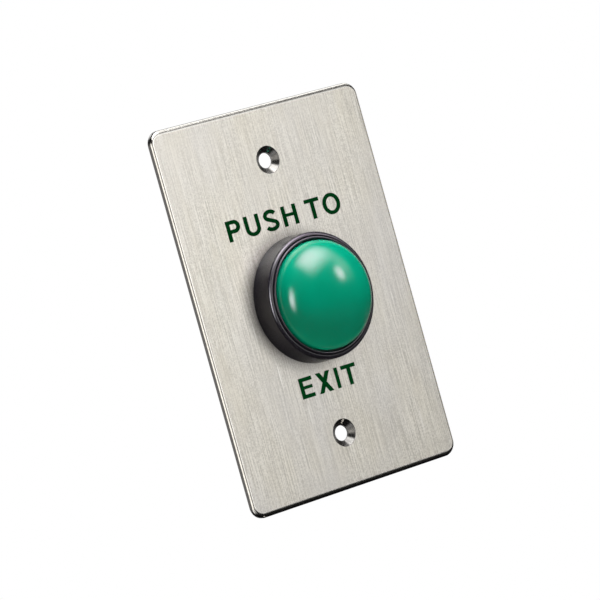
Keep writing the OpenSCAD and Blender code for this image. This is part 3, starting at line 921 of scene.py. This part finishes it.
# small lights for the sheet's edges and countersinks, and large ones for its back and its turned face
for name, centre, size, dist, strength, colour, fade in (
        ("hole_light", (8, 61), (0.66, 1.02), 0.85, 6.0, (1, 1, 1), 0.24),
        ("hole_side_light", (52, 77), (0.34, 0.34), 0.85, 5.2, (1, 1, 1), 0.24),
        ("hole_streak_light", (68, -68), (0.13, 0.13), 0.85, 11.5, (1, 0.95, 0.86), 0.20),
        ("edge_top_light", (102, 51), (0.90, 0.90), 0.85, 2.9, (1, 1, 1), 0.48),
        ("edge_side_light", (88, 0), (0.60, 0.90), 0.85, 1.1, (1, 0.95, 0.86), 0.48),
        ("edge_left_light", (-54, 0), (0.80, 1.04), 0.85, 0.95, (1, 0.98, 0.93), 0.40),
        ("edge_roll_light", (-83, 0), (0.90, 1.04), 0.85, 1.9, (1, 0.98, 0.94), 0.20),
        ("rear_light", (-144, 0), (0.90, 0.90), 0.85, 0.72, (1, 0.98, 0.96), 0.48),
        ("rear_top_light", (178, 38), (0.70, 0.70), 0.85, 2.4, (1, 1, 1), 0.48),
        ("low_left_panel", (-48, -34), (0.95, 1.20), 1.15, 1.1, (1, 1, 1), 0.48),
        ("rear_panel", (156, -2), (1.50, 2.30), 1.15, 2.4, (1, 1, 1), 0.48),
        ("rear_left_panel", (-112, -32), (1.10, 1.60), 1.15, 2.6, (1, 1, 1), 0.48)):
    b = softbox(name, centre, (centre[0], centre[1] + 30), dist, size, strength, (fade,) * 4, colour)
    link(only(b, True), "receiver_collection", [plate], "INCLUDE")
# what the bright sheet throws back on the collar's wall, and the lights along its rim
for name, centre, size, strength in (("bounce_box", (174, 44), 0.80, 0.40), ("rim_light", (-50, 10), 0.95, 7.0),
                                     ("rim_top_light", (-12, 60), 0.95, 9.5)):
    b = softbox(name, centre, (centre[0], centre[1] + 30), 0.85, (size, size), strength)
    link(only(b, True), "receiver_collection", [collar], "INCLUDE")
    link(b, "blocker_collection", [plate])

# what stands behind the plate
works = [nodes[n] for n in FINISH] + [collar, made["panel_nut_hex"], made["return_spring_coil"], made["snap_spring_leaf"]]
for name, centre, size, strength in (("rear_key", (150, 42), 1.30, 10.0), ("rear_side", (-128, 12), 1.10, 5.0),
                                     ("rear_low", (170, -50), 1.00, 2.5)):
    b = softbox(name, centre, (centre[0], centre[1] + 30), 1.0, (size, size), strength)
    link(b, "receiver_collection", works, "INCLUDE")

world = bpy.data.worlds.new("studio")
scene.world = world
world.use_nodes = True
wt = world.node_tree
wt.nodes.clear()
w_out = node(wt, "ShaderNodeOutputWorld")
w_seen = node(wt, "ShaderNodeBackground")
w_seen.inputs["Color"].default_value = (1, 1, 1, 1)
w_seen.inputs["Strength"].default_value = 1.0
w_lit = node(wt, "ShaderNodeBackground")
w_lit.inputs["Color"].default_value = (0.97, 0.985, 1.0, 1)
w_path = node(wt, "ShaderNodeLightPath")
wt.links.new(remap(wt, w_path.outputs["Is Glossy Ray"], 0, 1, 0.03, 0.012), w_lit.inputs["Strength"])
w_mix = node(wt, "ShaderNodeMixShader")
wt.links.new(w_path.outputs["Is Camera Ray"], w_mix.inputs[0])
wt.links.new(w_lit.outputs[0], w_mix.inputs[1])
wt.links.new(w_seen.outputs[0], w_mix.inputs[2])
wt.links.new(w_mix.outputs[0], w_out.inputs["Surface"])

floor_m, floor_t, floor_p = principled("pale_floor")
floor_p.inputs["Base Color"].default_value = (0.16, 0.16, 0.155, 1)
floor_p.inputs["Roughness"].default_value = 0.7
floor_p.inputs["Specular IOR Level"].default_value = 0.0
floor_p.inputs["Emission Color"].default_value = (1.0, 0.995, 0.985, 1)
floor_p.inputs["Emission Strength"].default_value = 0.80
floor = bpy.data.objects.new("floor", mesh_of("floor", [(-1.2, -1.2, -0.36), (1.2, -1.2, -0.36), (1.2, 1.2, -0.36), (-1.2, 1.2, -0.36)],
                                             [[0, 1, 2, 3]]))
floor.data.materials.append(floor_m)
under = node(floor_t, "ShaderNodeMixShader")            # open to the eye from underneath
floor_t.links.new(node(floor_t, "ShaderNodeNewGeometry").outputs["Backfacing"], under.inputs[0])
floor_t.links.new(floor_p.outputs[0], under.inputs[1])
floor_t.links.new(node(floor_t, "ShaderNodeBsdfTransparent").outputs[0], under.inputs[2])
floor_t.links.new(under.outputs[0], [n for n in floor_t.nodes if n.type == "OUTPUT_MATERIAL"][0].inputs["Surface"])
scene.collection.objects.link(floor)
floor.visible_glossy = False

AZ, EL, ROLL, DIST = -36.2229, 1.4214, -15.6333, 1.101637
az, el, roll = (math.radians(v) for v in (AZ, EL, ROLL))
back = direction(AZ, EL)
side = Vector((math.cos(az), math.sin(az), 0))
up = back.cross(side)
cam_x = side * math.cos(roll) + up * math.sin(roll)
cam_y = up * math.cos(roll) - side * math.sin(roll)
cam = bpy.data.cameras.new("view")
cam.sensor_width = 36.0
cam.lens = 3710.68 / 600 * 36.0
cam.shift_x = -(302.38 - 300) / 600
cam.shift_y = (297.14 - 300) / 600
cam.clip_start, cam.clip_end = 0.05, 20
eye = bpy.data.objects.new("view", cam)
eye.matrix_world = Matrix.Translation(back * DIST) @ Matrix((cam_x, cam_y, back)).transposed().to_4x4()
scene.collection.objects.link(eye)
scene.camera = eye

scene.view_settings.view_transform = "Standard"
scene.view_settings.look = "None"
scene.view_settings.exposure = 0.0
scene.view_settings.gamma = 1.0
